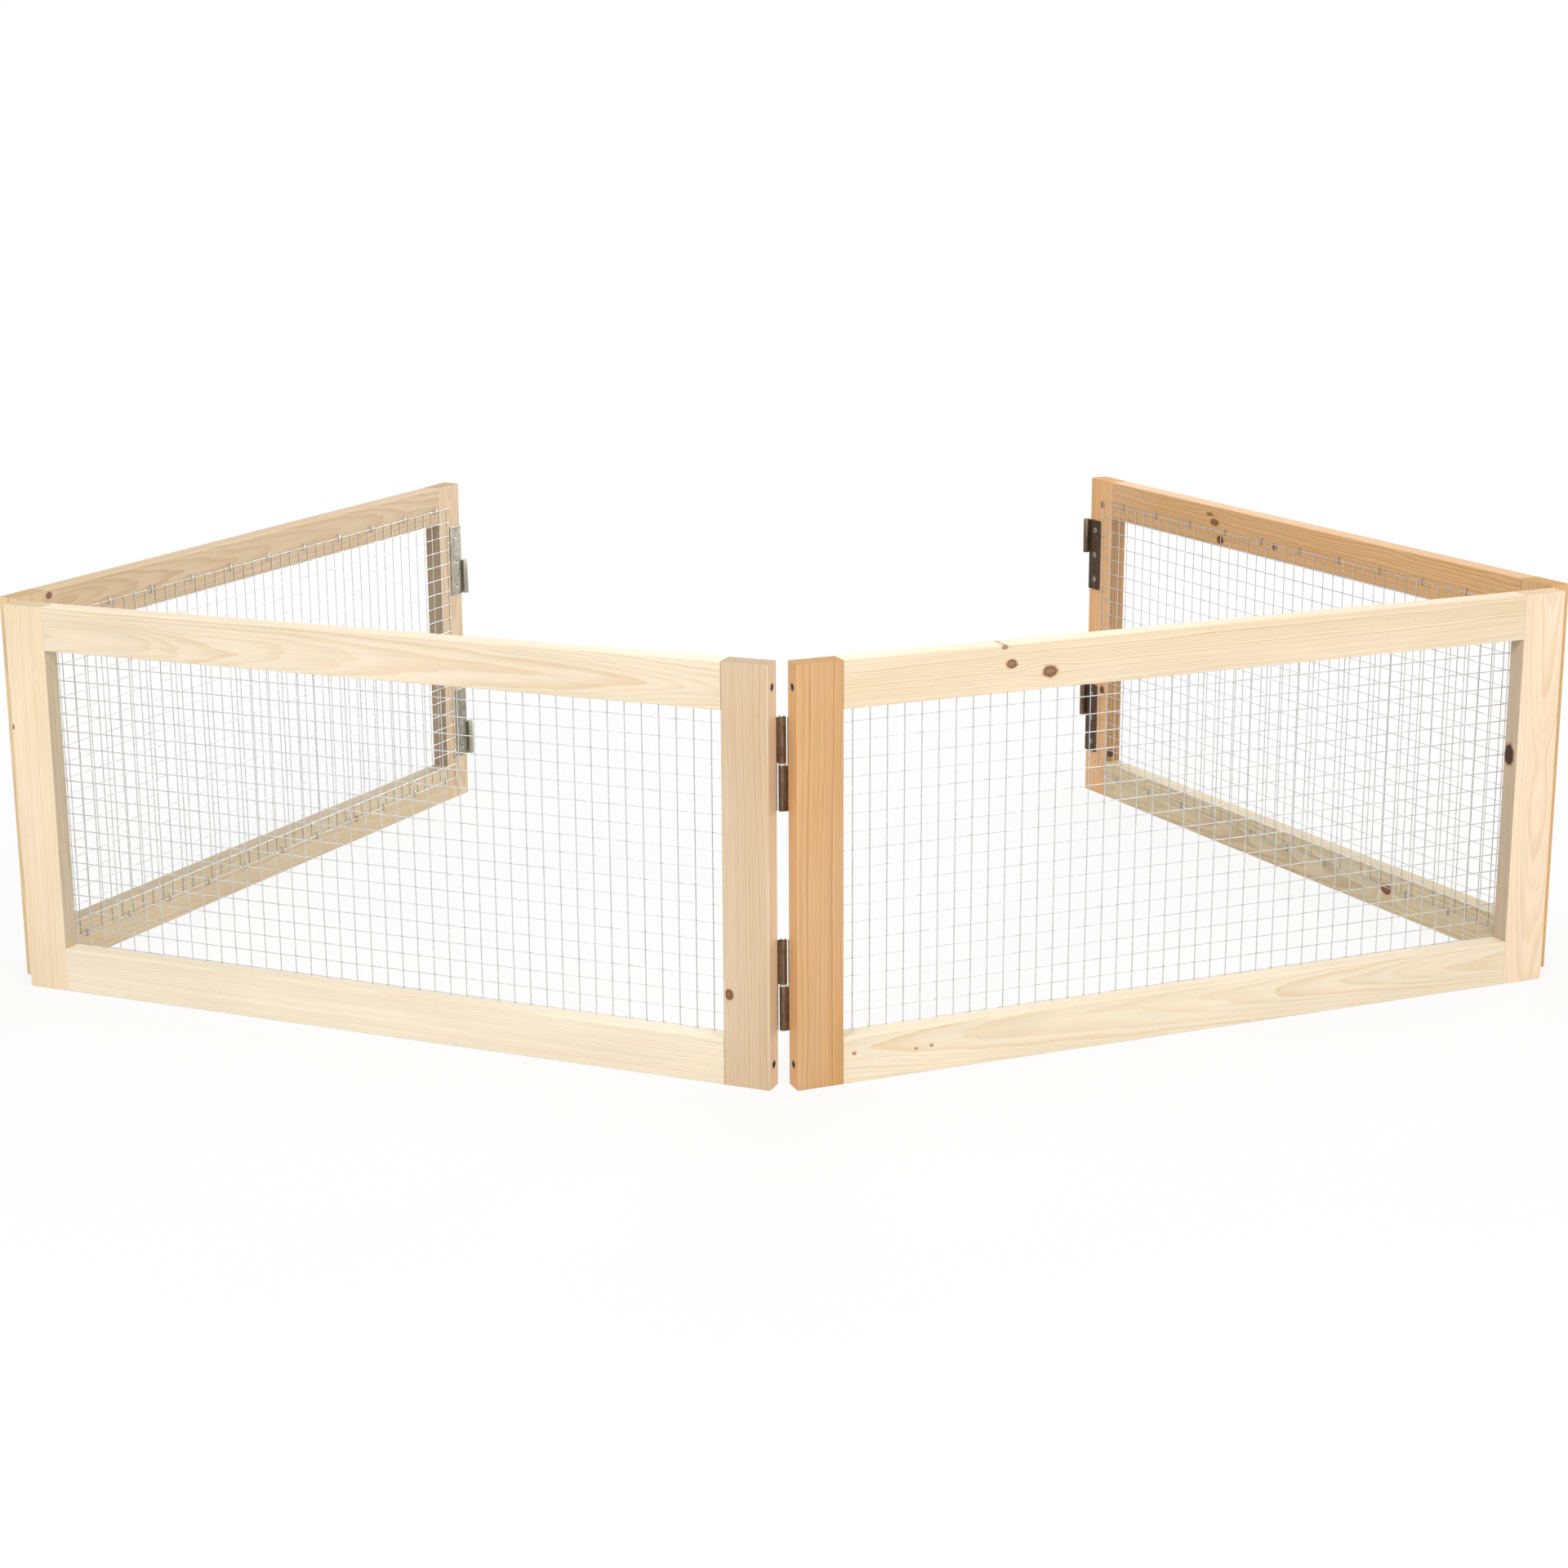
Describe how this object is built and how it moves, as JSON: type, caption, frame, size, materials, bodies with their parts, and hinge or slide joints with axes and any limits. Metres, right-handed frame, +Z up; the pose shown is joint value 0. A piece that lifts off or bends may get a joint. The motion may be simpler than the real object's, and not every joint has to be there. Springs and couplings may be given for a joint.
{
  "type": "guinea pig pen",
  "caption": "Folding pen of framed pine panels with welded wire mesh on the inside, joined end to end by hinges with loose pins.",
  "frame": {"origin": "on the floor, at the middle of the bounding box of the standing pen", "axes": "+Z up; +X to the right as seen from outside the two front panels; +Y from the front corner towards the open back"},
  "size_m": [1.7284, 1.1809, 0.44],
  "materials": {
    "pine_cream": "satin planed pine",
    "pine_orange": "satin planed pine, orange tone",
    "pine_tan": "satin planed pine, tan tone",
    "pine_brown": "satin planed pine, brown tone",
    "galvanised_wire": "dull zinc",
    "staple_steel": "dull zinc",
    "screw_steel": "zinc plated",
    "hinge_steel": "aged zinc plate",
    "pin_steel": "zinc plated",
    "washer_nylon": "natural nylon"
  },
  "bodies": {
    "back_left_panel": {"back_left_left_stile": "pine_tan", "back_left_right_stile": "pine_tan", "back_left_top_rail": "pine_tan", "back_left_bottom_rail": "pine_tan", "back_left_wire_mesh": "galvanised_wire", "back_left_mesh_staples": "staple_steel", "back_left_frame_screws": "screw_steel", "back_left_hinge_screws": "screw_steel", "back_left_left_upper_hinge": "hinge_steel", "back_left_left_lower_hinge": "hinge_steel", "back_left_right_upper_hinge": "hinge_steel", "back_left_right_lower_hinge": "hinge_steel"},
    "front_left_panel": {"front_left_left_stile": "pine_cream", "front_left_right_stile": "pine_cream", "front_left_top_rail": "pine_cream", "front_left_bottom_rail": "pine_cream", "front_left_wire_mesh": "galvanised_wire", "front_left_mesh_staples": "staple_steel", "front_left_frame_screws": "screw_steel", "front_left_hinge_screws": "screw_steel", "front_left_left_upper_hinge": "hinge_steel", "front_left_left_lower_hinge": "hinge_steel", "front_left_right_upper_hinge": "hinge_steel", "front_left_right_lower_hinge": "hinge_steel"},
    "front_right_panel": {"front_right_left_stile": "pine_orange", "front_right_right_stile": "pine_cream", "front_right_top_rail": "pine_cream", "front_right_bottom_rail": "pine_cream", "front_right_wire_mesh": "galvanised_wire", "front_right_mesh_staples": "staple_steel", "front_right_frame_screws": "screw_steel", "front_right_hinge_screws": "screw_steel", "front_right_left_upper_hinge": "hinge_steel", "front_right_left_lower_hinge": "hinge_steel", "front_right_right_upper_hinge": "hinge_steel", "front_right_right_lower_hinge": "hinge_steel"},
    "back_right_panel": {"back_right_left_stile": "pine_brown", "back_right_right_stile": "pine_brown", "back_right_top_rail": "pine_brown", "back_right_bottom_rail": "pine_brown", "back_right_wire_mesh": "galvanised_wire", "back_right_mesh_staples": "staple_steel", "back_right_frame_screws": "screw_steel", "back_right_hinge_screws": "screw_steel", "back_right_left_upper_hinge": "hinge_steel", "back_right_left_lower_hinge": "hinge_steel", "back_right_right_upper_hinge": "hinge_steel", "back_right_right_lower_hinge": "hinge_steel"},
    "left_corner_washer_pair": {"left_corner_washers": "washer_nylon"},
    "left_corner_upper_loose_pin": {"left_corner_upper_pin": "pin_steel"},
    "left_corner_lower_loose_pin": {"left_corner_lower_pin": "pin_steel"},
    "front_washer_pair": {"front_washers": "washer_nylon"},
    "front_upper_loose_pin": {"front_upper_pin": "pin_steel"},
    "front_lower_loose_pin": {"front_lower_pin": "pin_steel"},
    "right_corner_washer_pair": {"right_corner_washers": "washer_nylon"},
    "right_corner_upper_loose_pin": {"right_corner_upper_pin": "pin_steel"},
    "right_corner_lower_loose_pin": {"right_corner_lower_pin": "pin_steel"}
  },
  "joints": [
    {"name": "right_corner_swing", "type": "hinge", "parent": "back_right_panel", "child": "right_corner_washer_pair", "pos_m": [0.84281, -0.22723, 0.22], "axis": [0, 0, 1], "range_deg": [-10, 110]},
    {"name": "right_corner_lift", "type": "slide", "parent": "right_corner_washer_pair", "child": "front_right_panel", "axis": [0, 0, 1], "range_m": [0, 0.035]},
    {"name": "right_corner_upper_pin_draw", "type": "slide", "parent": "front_right_panel", "child": "right_corner_upper_loose_pin", "axis": [0, 0, 1], "range_m": [0, 0.082]},
    {"name": "right_corner_lower_pin_draw", "type": "slide", "parent": "front_right_panel", "child": "right_corner_lower_loose_pin", "axis": [0, 0, 1], "range_m": [0, 0.082]},
    {"name": "front_swing", "type": "hinge", "parent": "front_right_panel", "child": "front_washer_pair", "pos_m": [0, -0.56774, 0.22], "axis": [0, 0, 1], "range_deg": [-28, 59]},
    {"name": "front_lift", "type": "slide", "parent": "front_washer_pair", "child": "front_left_panel", "axis": [0, 0, 1], "range_m": [0, 0.035]},
    {"name": "front_upper_pin_draw", "type": "slide", "parent": "front_left_panel", "child": "front_upper_loose_pin", "axis": [0, 0, 1], "range_m": [0, 0.082]},
    {"name": "front_lower_pin_draw", "type": "slide", "parent": "front_left_panel", "child": "front_lower_loose_pin", "axis": [0, 0, 1], "range_m": [0, 0.082]},
    {"name": "left_corner_swing", "type": "hinge", "parent": "front_left_panel", "child": "left_corner_washer_pair", "pos_m": [-0.84281, -0.22723, 0.22], "axis": [0, 0, 1], "range_deg": [-10, 110]},
    {"name": "left_corner_lift", "type": "slide", "parent": "left_corner_washer_pair", "child": "back_left_panel", "axis": [0, 0, 1], "range_m": [0, 0.035]},
    {"name": "left_corner_upper_pin_draw", "type": "slide", "parent": "back_left_panel", "child": "left_corner_upper_loose_pin", "axis": [0, 0, 1], "range_m": [0, 0.082]},
    {"name": "left_corner_lower_pin_draw", "type": "slide", "parent": "back_left_panel", "child": "left_corner_lower_loose_pin", "axis": [0, 0, 1], "range_m": [0, 0.082]}
  ]
}
